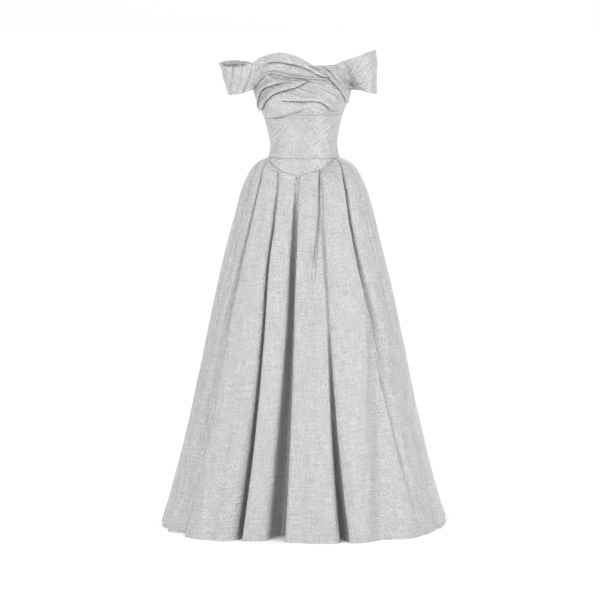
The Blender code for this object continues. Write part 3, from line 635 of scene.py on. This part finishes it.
def waist_relief(angle, height):
    """Sunk seams all round, creases at the left side and one at each end of the waist seam."""
    sunk = seam(height - SEAM_GAP) + seam(height_on(UNDERBUST, angle) - height)
    sunk = sunk + seam((SIDE_SEAM - np.abs(angle)) * WAIST_ARC, 0.0008)
    creases = 0.0
    shown = ramp(angle, -88, -72) * (1 - ramp(angle, -40, -12))
    for low, high, slant, size in WAIST_CREASES:
        line = low + (high - low) * (angle + 80) / 50 + slant * ramp(angle, -60, -20)
        creases = creases + size * near(height - line, 0.0035) * shown
    line = 0.004 + (np.abs(angle) - 60) / 30 * 0.010
    creases = creases + 0.0016 * near(height - line, 0.0022) * ramp(angle, 62, 84)
    return creases + 0.0009 * ripple(angle * WAIST_SWELL_ARC, height, 0.05, 0.06, 11) - sunk


def back_relief(angle, height):
    sunk = seam(height - SEAM_GAP) + seam((np.abs(angle) - SIDE_SEAM) * WAIST_ARC, 0.0008)
    sunk = sunk + seam((180 - np.abs(angle)) * WAIST_SWELL_ARC, 0.0012, 0.0014)
    return 0.0010 * ripple(angle * WAIST_SWELL_ARC, height, 0.06, 0.08, 12) * ramp(height, 0, 0.03) - sunk


def yoke_relief(angle, height):
    low = np.minimum(yoke_edge(angle), -YOKE_END)
    swell = 0.0005 * ripple(angle * WAIST_SWELL_ARC, height, 0.03, 0.03, 13)
    return swell - seam(height - low) - seam(height)


def bodice(finish, bias):
    side = SIDE_SEAM - SEAM_INSET
    angles = edge_columns(-side, side, 190)
    high = lambda a: height_on(UNDERBUST, a) - SEAM_GAP
    grid = fitted(angles, lambda a: 0 * a, high, 80, waist_relief, True)
    placed(cloth("cloth_waist_panel", grid, bias, turn=-0.6), ["waist_panel"])
    for name, turn in (("right", 1), ("left", -1)):
        angles = edge_columns(SIDE_SEAM + SEAM_INSET, 180 - SEAM_INSET, 90)
        angles = angles if turn > 0 else -angles[::-1]
        grid = fitted(angles, lambda a: 0 * a, lambda a: height_on(BACK_TOP, np.abs(a)), 90, back_relief)
        piece = cloth(f"cloth_bodice_back_{name}", with_hem(grid, "top", 0.012), finish)
        placed(piece, [f"bodice_back_{name}"])
    angles = edge_columns(-YOKE_HALF_ANGLE + 0.1, YOKE_HALF_ANGLE - 0.1, 150)
    low = lambda a: np.minimum(yoke_edge(a), -YOKE_END)
    grid = fitted(angles, low, lambda a: 0 * a - SEAM_GAP, 34, yoke_relief, True)
    placed(cloth("cloth_yoke", grid, bias, turn=-0.6), ["yoke"])


def bust_cover(angle):
    """Height of the lowest edge that laps over the bust drape at this angle."""
    left = column(sorted(NECK_DRAPE), 1, angle)
    wrap = column(RIGHT_WRAP, 1, angle)
    return np.where(angle < RIGHT_WRAP[1][0], left, np.minimum(left, wrap))


def bust_drape(finish):
    """The draped front over the bust. Each fold has a rounded lip that hangs a little over its line."""
    side = SIDE_SEAM - SEAM_INSET
    angle = edge_columns(-side, side, 300)[:, None]
    top = height_on(BUST_TOP, angle)
    lines = [height_on(UNDERBUST, angle)]
    for line in (LOW_FOLD, MIDDLE_FOLD, TUCK_LOW, TUCK_HIGH):
        lines.append(np.minimum(np.maximum(height_on(line, angle), lines[-1] + 0.0015), top - 0.004))
    lines += [np.minimum(np.maximum(bust_cover(angle), lines[-1] + 0.001), top - 0.002), top]
    height = []
    for low, high, rows in zip(lines, lines[1:], (10, 38, 46, 34, 44, 10)):
        share = (1 - np.cos(math.pi * np.arange(rows) / rows)) / 2
        height.append(low + (high - low) * share)
    height = np.concatenate([*height, top], 1)
    out = np.zeros_like(height)
    hang = np.zeros_like(height)
    for line, size, (start, full, fading, gone), flat in BUST_FOLDS:
        above = height - height_on(line, angle)
        strength = ramp(angle, start, full) * (1 - ramp(angle, fading, gone))
        lip = np.where(above > 0, 1 - np.exp(-np.maximum(above, 0) / FOLD_LIP), 0)
        out = out + size * strength * lip * (1 - ramp(above, 0.002, flat))
        out = out - FOLD_SINK * size * strength * near(np.minimum(above, 0), 0.0045) * (above <= 0)
        hang = hang + FOLD_HANG * size * strength * near(above - 0.0012, 0.0015)
    covered = 1 - ramp(height, bust_cover(angle) - 2.5 * LAP_EDGE, bust_cover(angle) - 0.8 * LAP_EDGE)
    out = np.clip(out, *FOLD_LIMITS) * covered
    out = out + 0.0009 * ripple(angle * BUST_SWELL_ARC, height, 0.05, 0.05, 21) * covered
    out = out - seam(height - height_on(UNDERBUST, angle))
    out = out - seam((SIDE_SEAM - np.abs(angle)) * BUST_ARC, 0.0008)
    grid = on_figure(angle, height - hang * covered, WALL + out)
    placed(cloth("cloth_bust_drape", grid, finish, turn=0.5), ["bust_drape"])


# ---------------------------------------------------------------- neck drape, wrap and sleeves


def band_column(table, place, share, out):
    """Points on the form at a place along a band's table and at shares of its width."""
    stops = np.arange(len(table))
    angle, bottom, top = (curve(stops, [row[k] for row in table], place) for k in (0, 1, -1))
    return on_figure(angle, bottom + (top - bottom) * share, out)


def arm_sections(table, shares):
    low, high = np.array([row[:3] for row in table]), np.array([row[3:] for row in table])
    return low[:, None] + (high - low)[:, None] * shares[None, :, None]


def resampled(sections, shares, rows):
    """Each column of the grid read at its own shares of the width."""
    return np.stack([curve(shares, column_points, row) for column_points, row in zip(sections, rows)])


def left_band(finish):
    """One cloth from the back round the left arm and over the left bust to the twist, with a roll on top."""
    lap = WALL + LAP_GAP
    coarse = np.linspace(0, 1, 17)
    last = len(NECK_DRAPE) - 1
    place = np.linspace(0, last, 130)
    # Coarse sections from the twist along the neck, round the arm and on the back.
    neck = band_column(NECK_DRAPE, place[:, None], coarse[None, :], lap)
    before = band_column(NECK_DRAPE, last * np.array([22, 23])[:, None] / 23, coarse[None, :], lap)
    back = band_column(LEFT_SLEEVE_BACK, np.linspace(0, 1, 3)[:, None], coarse[None, :], lap)
    sections = np.concatenate([before, arm_sections(LEFT_SLEEVE, coarse), back[:2]])
    arm = curve(np.arange(len(sections)), sections, np.linspace(1, len(sections) - 2, 132)[1:-1])
    back = band_column(LEFT_SLEEVE_BACK, np.linspace(0, 1, 14)[:, None], coarse[None, :], lap)
    flat = np.concatenate([neck, arm, back])
    counts = (NECK_COLUMNS - 1, ARM_COLUMNS + 1, BACK_COLUMNS - 1)
    total = sum(counts)
    along = np.concatenate([
        np.linspace(0, counts[0], len(neck)),
        np.linspace(counts[0], counts[0] + counts[1], len(arm) + 2)[1:-1],
        np.linspace(total - counts[2], total, len(back)),
    ]) / total
    # The share of the width at which the line under the roll lies. It settles on the sleeve.
    stops = np.arange(len(NECK_DRAPE))
    low, line, high = (curve(stops, [row[k] for row in NECK_DRAPE], place) for k in (1, 2, 3))
    split = np.concatenate([(line - low) / (high - low), np.full(len(arm) + len(back), 0)])
    split[len(neck):] = 0.58 + (split[len(neck) - 1] - 0.58) * (1 - ramp(along[len(neck):], 0.46, 0.6))
    split = split[:, None]
    # Rows lie closer together at the edges and at the line. The columns then run from the back to the twist.
    below = (1 - np.cos(math.pi * np.arange(44) / 44)) / 2
    above = (1 - np.cos(math.pi * np.arange(37) / 36)) / 2
    rows = np.concatenate([split * below, split + (1 - split) * above], 1)
    grid = resampled(flat, coarse, rows)
    grid = grid[::-1]
    rows, split, along = rows[::-1], split[::-1], along[::-1, None]
    out, up = normals(grid), unit(np.gradient(grid, axis=1))
    roll = column(ROLL_ALONG, 1, along)
    band = column(BAND_ALONG, 1, along)
    on_roll = np.clip((rows - split) / (1 - split), 0, 1)
    on_band = np.clip(rows / split, 0, 1)
    # The roll, the cloth below it and the line between them.
    lift = ROLL_HEIGHT * roll * column(ROLL_SECTION, 1, on_roll)
    lift = lift + BAND_HEIGHT * band * np.sin(math.pi * on_band) ** 0.6 * (rows <= split)
    lift = lift - LINE_SINK * roll * near(rows - split, 0.05)
    size = ramp(along, 0, 0.1)
    hang = ROLL_HANG * roll * size * near(on_roll - 0.12, 0.13) * (rows > split)
    # Folds and creases slant across the band, by distances along it and across it.
    length = np.zeros_like(rows)
    length[1:] = np.cumsum(np.linalg.norm(np.diff(grid, axis=0), axis=-1), 0)
    width = rows * LEFT_BAND_WIDTH
    sleeve = ramp(along, 0.42, 0.62) * (1 - ramp(along, 0.86, 0.95))
    lift = lift + SLEEVE_FOLD * sleeve * ripple(length - 1.1 * width, width, 0.045, 0.30, 31)
    creased = 0.4 + 0.6 * sleeve
    lift = lift + BAND_CREASE * ripple(length - 0.4 * width, width, 0.045, 0.14, 32) * creased
    grid = grid + out * lift[..., None] - up * hang[..., None]
    grid = grid + out * WALL
    grid = with_hem(grid, "top", 0.012, 0.0011 + 0.0024 * roll)
    grid = with_hem(grid, "bottom", 0.010, 0.0011)
    grid = with_hem(grid, "end", 0.003, 0.0008)
    piece = cloth("cloth_left_sleeve_and_neck", grid, finish, turn=0.6)
    placed(piece, ["left_sleeve_and_neck"])


def wrap_edge(share, edge):
    """Angle, height and distance off the form on the front (0) or outer (1) edge of the right wrap."""
    stops = np.arange(len(RIGHT_WRAP))
    place = np.asarray(share, float) * (len(RIGHT_WRAP) - 1)
    angle, height = (curve(stops, [row[2 * edge + k] for row in RIGHT_WRAP], place) for k in (0, 1))
    return angle, height, (WALL + LAP_GAP) * (2 - ramp(share, 0.5, 0.8))


def right_wrap(finish):
    """The piece over the twist, with a ridge along its front edge and a soft hollow beside it."""
    share = np.linspace(0, 1, 130)[:, None]
    u = np.linspace(0, 1, 60)[None, :] ** 1.25
    (a0, z0, out), (a1, z1, _) = wrap_edge(share, 0), wrap_edge(share, 1)
    ridge = np.where(u < WRAP_RIDGE_SHARE, np.sin(math.pi * np.clip(u / WRAP_RIDGE_SHARE, 0, 1)) ** 0.8, 0)
    lift = WRAP_RIDGE * ridge * (1 - 0.5 * ramp(share, 0.6, 1))
    beyond = np.clip((u - WRAP_RIDGE_SHARE) / (1 - WRAP_RIDGE_SHARE), 0, 1)
    lift = lift + 0.0016 * np.sin(math.pi * beyond) ** 0.7
    hollow = 0.0046 - 0.0020 * ramp(share, 0.3, 0.6)
    lift = lift - hollow * near(u - WRAP_RIDGE_SHARE, 0.07) * ramp(share, 0.0, 0.15)
    lift = lift + OVER_ROLL * (1 - ramp(share, 0.25, 0.6)) * (1 - ramp(u, 0.35, 0.8))
    lift = lift + 0.0007 * ripple(u * 0.06, share * 0.2, 0.03, 0.16, 41)
    grid = on_figure(a0 + (a1 - a0) * u, z0 + (z1 - z0) * u, out + WALL + lift)
    grid = with_hem(grid, "bottom", 0.008, 0.0010)
    grid = with_hem(grid, "start", 0.008, 0.0010)
    placed(cloth("cloth_right_wrap", grid, finish, turn=-0.7), ["right_wrap"])


def right_sleeve(finish):
    """Round the right arm, from the slanting seam on the wrap to the back, with soft slanting folds."""
    shares = np.linspace(0, 1, 17)
    angle, height, out = wrap_edge(WRAP_SEWN * (1 - shares), 1)
    off = out + WALL + SEAM_GAP
    start = np.stack([on_figure(angle - inset, height, off) for inset in (6 * SEAM_LAP, SEAM_LAP)])
    back = band_column(RIGHT_SLEEVE_BACK, np.linspace(0, 1, 3)[:, None], shares[None, :], WALL + LAP_GAP)
    sections = np.concatenate([start, arm_sections(RIGHT_SLEEVE, shares), back[:2]])
    arm = curve(np.arange(len(sections)), sections, np.linspace(1, len(sections) - 2, 150)[:-1])
    back = band_column(RIGHT_SLEEVE_BACK, np.linspace(0, 1, 14)[:, None], shares[None, :], WALL + LAP_GAP)
    flat = np.concatenate([arm, back])
    rows = np.broadcast_to(np.linspace(0, 1, 70), (len(flat), 70))
    grid = resampled(flat, shares, rows)
    along = np.linspace(0, 1, len(grid))[:, None]
    length = np.zeros_like(rows)
    length[1:] = np.cumsum(np.linalg.norm(np.diff(grid, axis=0), axis=-1), 0)
    width = rows * RIGHT_BAND_WIDTH
    free = ramp(along, 0.0, 0.12) * (1 - ramp(along, 0.86, 0.95))
    lift = RIGHT_FOLD * ripple(length * 0.55 - width, length, 0.048, 0.40, 51) * free
    lift = lift + RIGHT_CREASE * ripple(length - width, width, 0.03, 0.12, 52) * free
    lift = lift - 0.0012 * near(along, 0.012)
    grid = grid + normals(grid) * (WALL + lift)[..., None]
    for side, turn in (("top", 0.012), ("bottom", 0.010)):
        grid = with_hem(grid, side, turn, 0.0011)
    placed(cloth("cloth_right_sleeve", grid, finish, turn=-0.6), ["right_sleeve"])


# ---------------------------------------------------------------- zip


def zip_profile():
    """The zip's run inside the centre back, from its top down: points and inward directions."""
    heights = np.linspace(ZIP_TOP, 0, 60)
    bodice_part = on_figure(180.0, heights, 0)
    t = np.linspace(0, ZIP_LOW_SHARE, 34)[1:]
    skirt_part = skirt_base(180.0, t) - np.array([0, WALL, 0])
    line = np.concatenate([bodice_part, skirt_part])
    along = np.gradient(line, axis=0)
    inward = unit(np.stack([0 * along[:, 0], along[:, 2], -along[:, 1]], -1))
    settled = np.concatenate([0.0016 * near(heights, 0.006), 0.0016 * near(t * 1.1, 0.01)])
    return line + inward * settled[:, None], inward


def zip_tape(tape, coil):
    line, inward = zip_profile()
    x = np.linspace(-TAPE_WIDTH / 2, TAPE_WIDTH / 2, 23)[:, None, None]
    grid = line[None] + inward[None] * (TAPE_GAP + 0.0010 + np.abs(x) * TAPE_SAG) + x * np.array([1.0, 0, 0])
    grid = grid[:, ::-1]
    placed(cloth("cloth_zip_tape", grid, tape), ["zip_tape"])
    steps = np.concatenate([[0], np.cumsum(np.linalg.norm(np.diff(line, axis=0), axis=-1))])
    places = np.arange(0.004, steps[-1] - 0.004, TOOTH_PITCH)
    middles = np.stack([np.interp(places, steps, line[:, k]) for k in range(3)], -1)
    inwards = unit(np.stack([np.interp(places, steps, inward[:, k]) for k in range(3)], -1))
    points, faces = [], []
    turns = np.radians(np.arange(0, 360, 360 / TOOTH_SIDES))
    ring = np.arange(TOOTH_SIDES)
    for middle, inn in zip(middles, inwards):
        down = np.cross(inn, (1.0, 0, 0))
        for side in (-1, 1):
            across = np.array([side * TOOTH_SHIFT, 0, 0])
            centre = middle + inn * (TAPE_GAP + TOOTH_OUT) + across + down * side * TOOTH_PITCH / 4
            first = len(points)
            for x, radius in TOOTH_RINGS:
                end = centre + np.array([side * x, 0, 0])
                points += [end + radius * (inn * math.cos(a) + down * math.sin(a)) for a in turns]
            for low in range(first, len(points) - TOOTH_SIDES, TOOTH_SIDES):
                for m, n in zip(ring, np.roll(ring, -1)):
                    high = low + TOOTH_SIDES
                    faces.append((low + m, low + n, high + n, high + m))
            faces += [tuple(first + ring[::-1]), tuple(len(points) - TOOTH_SIDES + ring)]
    mesh = bpy.data.meshes.new("zip_teeth")
    mesh.from_pydata([tuple(p) for p in points], [], faces)
    mesh.shade_smooth()
    mesh.materials.append(coil)
    teeth = bpy.data.objects.new("zip_teeth", mesh)
    bpy.context.scene.collection.objects.link(teeth)
    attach(teeth, "gown")


# ---------------------------------------------------------------- materials


class Nodes:
    """Short calls for building a material's node tree."""

    def __init__(self, name):
        self.made = bpy.data.materials.new(name)
        self.made.use_nodes = True
        self.tree = self.made.node_tree
        self.shader = self.tree.nodes["Principled BSDF"]

    def add(self, kind, **settings):
        node = self.tree.nodes.new(kind)
        for key, value in settings.items():
            setattr(node, key, value)
        return node

    def link(self, out, into):
        self.tree.links.new(out, into)

    def math(self, operation, a, b):
        node = self.add("ShaderNodeMath", operation=operation)
        for socket, value in zip(node.inputs, (a, b)):
            if isinstance(value, (int, float)):
                socket.default_value = value
            else:
                self.link(value, socket)
        return node.outputs[0]

    def noise(self, place, size, detail=2.0, distortion=0.0):
        """Noise with cells of about that size, in metres across and along."""
        spread = self.add("ShaderNodeMapping")
        spread.inputs["Scale"].default_value = (1 / size[0], 1 / size[1], 1)
        self.link(place, spread.inputs["Vector"])
        node = self.add("ShaderNodeTexNoise")
        node.inputs["Scale"].default_value = 1.0
        node.inputs["Detail"].default_value = detail
        node.inputs["Distortion"].default_value = distortion
        self.link(spread.outputs[0], node.inputs["Vector"])
        return node.outputs["Fac"]

    def stretch(self, value, low, high, to_low=0.0, to_high=1.0):
        node = self.add("ShaderNodeMapRange")
        for socket, number in zip(node.inputs[1:5], (low, high, to_low, to_high)):
            socket.default_value = number
        self.link(value, node.inputs[0])
        return node.outputs[0]


def jacquard(name, colour, fleck_share, crease_share):
    """Silver crinkled jacquard: upright and level threads with small crushed cells that catch the light."""
    k = Nodes(name)
    weave = k.add("ShaderNodeUVMap", uv_map="weave").outputs[0]
    upright = k.stretch(k.noise(weave, UPRIGHT_THREAD), 0.3, 0.7)
    level = k.stretch(k.noise(weave, LEVEL_THREAD), 0.3, 0.7)
    threads = k.math("ADD", k.math("MULTIPLY", upright, 0.5), k.math("MULTIPLY", level, 0.5))
    flecks = k.stretch(k.noise(weave, CRUSHED_CELL, 2, 0.3), 0.40, 0.72)
    creases = k.stretch(k.noise(weave, LONG_CREASE, 3, 0.4), 0.3, 0.7)
    patches = k.stretch(k.noise(weave, DULL_PATCH, 2, 0.3), 0.35, 0.65)
    flecks = k.math("MULTIPLY", flecks, k.stretch(patches, 0.0, 1.0, 0.35, 1.0))
    height = k.math("ADD", k.math("MULTIPLY", threads, 1.1), k.math("MULTIPLY", flecks, fleck_share))
    height = k.math("ADD", height, k.math("MULTIPLY", creases, crease_share))
    bump = k.add("ShaderNodeBump")
    bump.inputs["Strength"].default_value = 1.0
    bump.inputs["Distance"].default_value = RELIEF_DEPTH
    k.link(height, bump.inputs["Height"])
    k.link(bump.outputs[0], k.shader.inputs["Normal"])
    tone = k.math("ADD", k.math("MULTIPLY", threads, 0.5), k.math("MULTIPLY", flecks, 0.5))
    ramp_node = k.add("ShaderNodeValToRGB")
    dark, light = ramp_node.color_ramp.elements
    dark.position, light.position = 0.15, 0.80
    dark.color = (*[c * 0.80 for c in colour], 1)
    light.color = (*[min(c * 1.30, 1) for c in colour], 1)
    k.link(tone, ramp_node.inputs[0])
    k.link(ramp_node.outputs[0], k.shader.inputs["Base Color"])
    k.link(k.stretch(flecks, 0.0, 1.0, 0.42, 0.28), k.shader.inputs["Roughness"])
    k.shader.inputs["Metallic"].default_value = 0.7
    k.shader.inputs["Sheen Weight"].default_value = 0.2
    k.shader.inputs["Sheen Roughness"].default_value = 0.4
    return k.made


def tape_finish():
    k = Nodes("zip_tape_weave")
    weave = k.add("ShaderNodeUVMap", uv_map="weave").outputs[0]
    rib = k.noise(weave, (0.0006, 0.0016), 2)
    ramp_node = k.add("ShaderNodeValToRGB")
    ramp_node.color_ramp.elements[0].color = (0.36, 0.36, 0.37, 1)
    ramp_node.color_ramp.elements[1].color = (0.52, 0.52, 0.53, 1)
    k.link(rib, ramp_node.inputs[0])
    k.link(ramp_node.outputs[0], k.shader.inputs["Base Color"])
    bump = k.add("ShaderNodeBump")
    bump.inputs["Distance"].default_value = 0.0003
    k.link(rib, bump.inputs["Height"])
    k.link(bump.outputs[0], k.shader.inputs["Normal"])
    k.shader.inputs["Roughness"].default_value = 0.75
    return k.made


def metal_finish(name, metallic, roughness):
    """Satin silver with faint wear."""
    k = Nodes(name)
    place = k.add("ShaderNodeTexCoord").outputs["Object"]
    wear = k.noise(place, (0.002, 0.002), 4)
    ramp_node = k.add("ShaderNodeValToRGB")
    ramp_node.color_ramp.elements[0].color = (0.50, 0.50, 0.51, 1)
    ramp_node.color_ramp.elements[1].color = (0.68, 0.68, 0.69, 1)
    k.link(wear, ramp_node.inputs[0])
    k.link(ramp_node.outputs[0], k.shader.inputs["Base Color"])
    k.link(k.stretch(wear, 0.3, 0.7, roughness, roughness + 0.15), k.shader.inputs["Roughness"])
    k.shader.inputs["Metallic"].default_value = metallic
    return k.made


# ---------------------------------------------------------------- floor, light and camera


def floor():
    mesh = bpy.data.meshes.new("floor")
    corners = [(x * FLOOR_HALF, y * FLOOR_HALF, HEM_HEIGHT - FLOOR_DROP) for x, y in SQUARE]
    mesh.from_pydata(corners, [], [(0, 1, 2, 3)])
    k = Nodes("floor")
    k.shader.inputs["Base Color"].default_value = (0.97, 0.97, 0.97, 1)
    k.shader.inputs["Roughness"].default_value = 0.9
    k.shader.inputs["Specular IOR Level"].default_value = 0.1
    mesh.materials.append(k.made)
    made = bpy.data.objects.new("floor", mesh)
    bpy.context.scene.collection.objects.link(made)


def area_light(name, place, size, energy):
    light = bpy.data.lights.new(name, "AREA")
    light.shape = "RECTANGLE"
    light.size, light.size_y = size
    light.energy = energy
    made = bpy.data.objects.new(name, light)
    made.location = place
    made.rotation_euler = (Vector(LIGHT_TARGET) - Vector(place)).to_track_quat("-Z", "Y").to_euler()
    bpy.context.scene.collection.objects.link(made)


def studio():
    world = bpy.data.worlds.new("studio")
    world.use_nodes = True
    tree = world.node_tree
    tree.nodes["Background"].inputs[0].default_value = (1, 1, 1, 1)
    side = tree.nodes.new("ShaderNodeVectorMath")
    side.operation = "DOT_PRODUCT"
    side.inputs[1].default_value = WORLD_SLOPE
    tree.links.new(tree.nodes.new("ShaderNodeTexCoord").outputs["Generated"], side.inputs[0])
    level = tree.nodes.new("ShaderNodeMath")
    level.inputs[1].default_value = WORLD_LEVEL
    tree.links.new(side.outputs["Value"], level.inputs[0])
    tree.links.new(level.outputs[0], tree.nodes["Background"].inputs[1])
    bpy.context.scene.world = world
    area_light("key", (-3.0, -4.6, 2.2), (1.6, 2.6), 98)
    area_light("fill", (4.4, -3.4, 1.4), (1.4, 2.6), 90)
    bpy.context.scene.view_settings.view_transform = "Standard"


def camera():
    lens = bpy.data.cameras.new("camera")
    lens.sensor_width = 36
    lens.lens = CAMERA_LENS
    lens.clip_end = 1000
    made = bpy.data.objects.new("camera", lens)
    aside, ahead = math.sin(CAMERA_TURN), math.cos(CAMERA_TURN)
    made.location = (CAMERA_DISTANCE * aside, -CAMERA_DISTANCE * ahead, CAMERA_HEIGHT)
    target = Vector((TARGET_SIDE * ahead, TARGET_SIDE * aside, TARGET_HEIGHT))
    made.rotation_euler = (target - made.location).to_track_quat("-Z", "Y").to_euler()
    bpy.context.scene.collection.objects.link(made)
    bpy.context.scene.camera = made


def main():
    silver = jacquard("silver_jacquard", SILVER, *STRAIGHT_RELIEF)
    bias = jacquard("silver_jacquard_bias", SILVER, *BIAS_RELIEF)
    skirt_panel("skirt_front", FRONT_FOLDS, -SIDE_SEAM, SIDE_SEAM, silver)
    skirt_panel("skirt_back_right", BACK_FOLDS, SIDE_SEAM, 180, silver)
    skirt_panel("skirt_back_left", LEFT_BACK_FOLDS, -180, -SIDE_SEAM, silver)
    bodice(silver, bias)
    bust_drape(bias)
    left_band(bias)
    right_wrap(bias)
    right_sleeve(bias)
    zip_tape(tape_finish(), metal_finish("zip_coil", 0.0, 0.5))
    metal = metal_finish("zip_metal", 1.0, 0.28)
    for name in ("zip_slider", "zip_pull"):
        node = bpy.data.objects[name]
        for place in range(len(node.material_slots)):
            node.material_slots[place].material = metal
    floor()
    studio()
    camera()


main()
bpy.context.view_layer.update()
